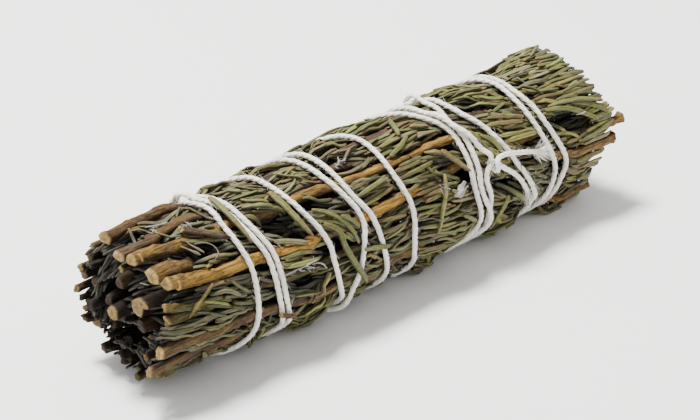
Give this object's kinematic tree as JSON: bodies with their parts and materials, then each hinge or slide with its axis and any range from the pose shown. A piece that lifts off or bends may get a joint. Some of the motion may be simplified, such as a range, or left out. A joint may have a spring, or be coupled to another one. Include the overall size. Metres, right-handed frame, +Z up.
{
  "type": "rosemary bundle",
  "caption": "Bundle of dried rosemary sprigs lying on its side, wound in a criss-cross with a single cotton twine and knotted near the leafy end.",
  "frame": {"origin": "centre of the bounding box's bottom, on the surface that the bundle lies on", "axes": "+X along the bundle from the cut stem ends towards the leafy tips, +Z up, -Y the side with the knot"},
  "size_m": [0.112, 0.0304, 0.028],
  "materials": {
    "rosemary_leaf": "dry matt needles, olive green to brown",
    "rosemary_stem": "dry fibrous bark, orange brown to purple brown, with pale cut ends",
    "twine": "soft plied cotton, off-white"
  },
  "bodies": {
    "root": {"sprig_01": "rosemary_leaf", "sprig_02": "rosemary_leaf", "sprig_03": "rosemary_leaf", "sprig_04": "rosemary_leaf", "sprig_05": "rosemary_leaf", "sprig_06": "rosemary_leaf", "sprig_07": "rosemary_leaf", "sprig_08": "rosemary_leaf", "sprig_09": "rosemary_leaf", "sprig_10": "rosemary_leaf", "sprig_11": "rosemary_leaf", "sprig_12": "rosemary_leaf", "sprig_13": "rosemary_leaf", "sprig_14": "rosemary_leaf", "sprig_15": "rosemary_leaf", "sprig_16": "rosemary_leaf", "sprig_17": "rosemary_leaf", "sprig_18": "rosemary_leaf", "sprig_19": "rosemary_leaf", "sprig_20": "rosemary_leaf", "sprig_21": "rosemary_leaf", "sprig_22": "rosemary_leaf", "sprig_23": "rosemary_leaf", "sprig_24": "rosemary_leaf", "sprig_25": "rosemary_leaf", "sprig_26": "rosemary_leaf", "sprig_27": "rosemary_leaf", "sprig_28": "rosemary_leaf", "sprig_29": "rosemary_leaf", "sprig_30": "rosemary_leaf", "sprig_31": "rosemary_leaf", "sprig_32": "rosemary_leaf", "bent_stalk": "rosemary_leaf", "upright_stalk": "rosemary_leaf", "crossing_twig": "rosemary_stem", "short_twig": "rosemary_stem", "straw": "rosemary_stem", "loose_needle_01": "rosemary_leaf", "loose_needle_02": "rosemary_leaf", "loose_needle_03": "rosemary_leaf", "loose_needle_04": "rosemary_leaf", "loose_needle_05": "rosemary_leaf", "loose_needle_06": "rosemary_leaf", "loose_needle_07": "rosemary_leaf", "loose_needle_08": "rosemary_leaf", "loose_needle_09": "rosemary_leaf", "twine": "twine"}
  },
  "joints": []
}
